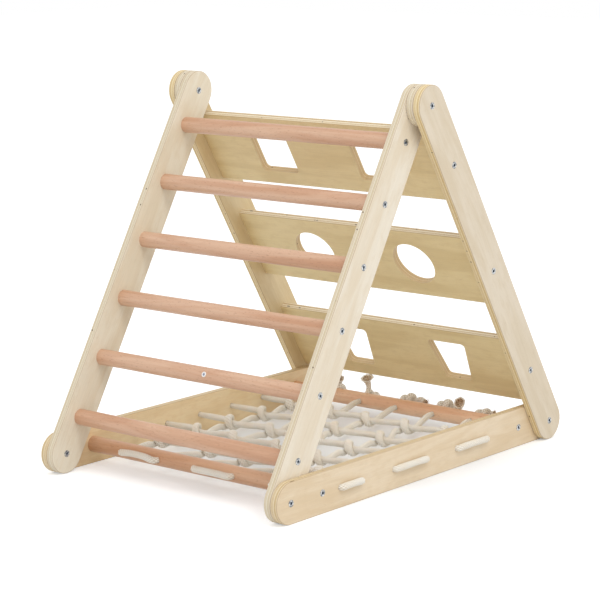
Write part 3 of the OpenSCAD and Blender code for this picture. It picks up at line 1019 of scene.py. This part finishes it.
# Knots behind the rear dowel, from left to right: to which side, how high, and the loose tail
rear_knots = (
    (1, 0.7, ((0, 18, 4, 1), (0, 18, 15, 1), (7, 13, 29, 1.9))),
    (-1, 0.6, ((15, 17, 6, 1.5), (12, 15, 14, 1.1), (11, 14, 22, 1), (12, 12, 31, 1.6),
               (11, 9, 40, 3.0))),
    (1, 1, ((16, 18, 6, 1.2), (31, 14, 13, 1.35), (45, 11, 9, 1.35))),
    (1, 1.05, ((18, 22, 3, 1.2), (28, 25, 8, 1.4), (29, 20, 17, 1.9), (35, 13, 20, 2.5))),
    (1, 0.7, ((14, 18, 6, 1.2), (24, 21, 8, 1.35))),
)
# Knots inside the base frame sit flatter, with short tails
inner_tall = 0.7
inner_tail = ((16, 19, 2, 1.1), (24, 24, 2, 1.8))
last_tail = ((16, 18, 2, 1.1), (25, 22, 4, 1.8))
# How far each stitch on the front dowel bows up
left_bow = 0.0042
middle_bow = 0.001
right_bow = 0.0
long_runs = [long_run(column, knot) for column, knot in enumerate(rear_knots)]
ends = hang_rope(
    "rope_left", "net_rope_left",
    long_runs[0][::-1] + front_stitch(long_x[0], long_x[1], left_bow) + long_runs[1])
ends += hang_rope(
    "rope_middle", "net_rope_middle",
    long_runs[2][::-1] + front_stitch(long_x[2], long_x[3], middle_bow) + long_runs[3])
ends += hang_rope(
    "rope_right", "net_rope_right",
    long_runs[4][::-1] + front_stitch(long_x[4], front_extra_x, right_bow)
    + [spot_on(front_extra_x, dowel_bore, net_z, 0.95)]
    + knotted(
        Vector((front_extra_x, dowel_inside, net_z)), Vector((0, 1, 0)), -1,
        inner_tall, inner_tail))

laced = knotted(
    Vector((rail_back_x - knot_gap, -rail_extra_y, net_z)), Vector((-1, 0, 0)), 1,
    inner_tall, inner_tail)[::-1]
laced += side_stitch(1, -rail_extra_y, cross_y[0])
side = 1
for row, next_y in enumerate(cross_y[1:] + (rail_extra_y,)):
    laced += cross_run(row, side)
    side = -side
    laced += side_stitch(side, cross_y[row], next_y)
laced += knotted(
    Vector((knot_gap - rail_back_x, rail_extra_y, net_z)), Vector((1, 0, 0)), 1,
    inner_tall, last_tail)
ends += hang_rope("rope_cross", "net_cross_rope", laced)

# Yarns that stick out round the rim of each cut end
yarn_count = 30
yarn_parts = 3
yarn_sides = 4
yarn_r = 0.0004
yarn_taper = 0.55
root_depth = 0.002
root_reach = (1.2, 1.6)
yarn_lean = (-0.2, 0.9)
yarn_length = (0.002, 0.0045)
most_curl = 0.5
frayed_verts = []
frayed_faces = []
for end, out in ends:
    aside = out.orthogonal().normalized()
    upward = out.cross(aside)
    for number in range(yarn_count):
        angle = chance.uniform(0, 2 * math.pi)
        radial = aside * math.cos(angle) + upward * math.sin(angle)
        root = end - out * chance.uniform(0, root_depth)
        root += radial * rope_r * chance.uniform(*root_reach)
        heading = out + radial * chance.uniform(*yarn_lean)
        length = chance.uniform(*yarn_length)
        curl = Vector([chance.uniform(-most_curl, most_curl) for axis in range(3)])
        rings = []
        for part in range(yarn_parts + 1):
            along = part / yarn_parts
            middle = root + (heading + curl * along) * length * along
            thick = yarn_r * (1 - yarn_taper * along)
            rings.append(range(len(frayed_verts), len(frayed_verts) + yarn_sides))
            for spoke in range(yarn_sides):
                around = 2 * math.pi * spoke / yarn_sides
                offset = aside * math.cos(around) + upward * math.sin(around)
                frayed_verts.append(middle + offset * thick)
        for near, far in zip(rings, rings[1:]):
            frayed_faces += joined(near, far)
        frayed_faces += [tuple(rings[0])[::-1], tuple(rings[-1])]
frayed_mesh = bpy.data.meshes.new("rope_cut_ends")
frayed_mesh.from_pydata(frayed_verts, [], frayed_faces)
frayed_mesh.polygons.foreach_set("use_smooth", [True] * len(frayed_faces))
frayed_mesh.materials.append(yarn_finish)
frayed = bpy.data.objects.new("rope_cut_ends", frayed_mesh)
bpy.context.scene.collection.objects.link(frayed)
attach(frayed, "root")
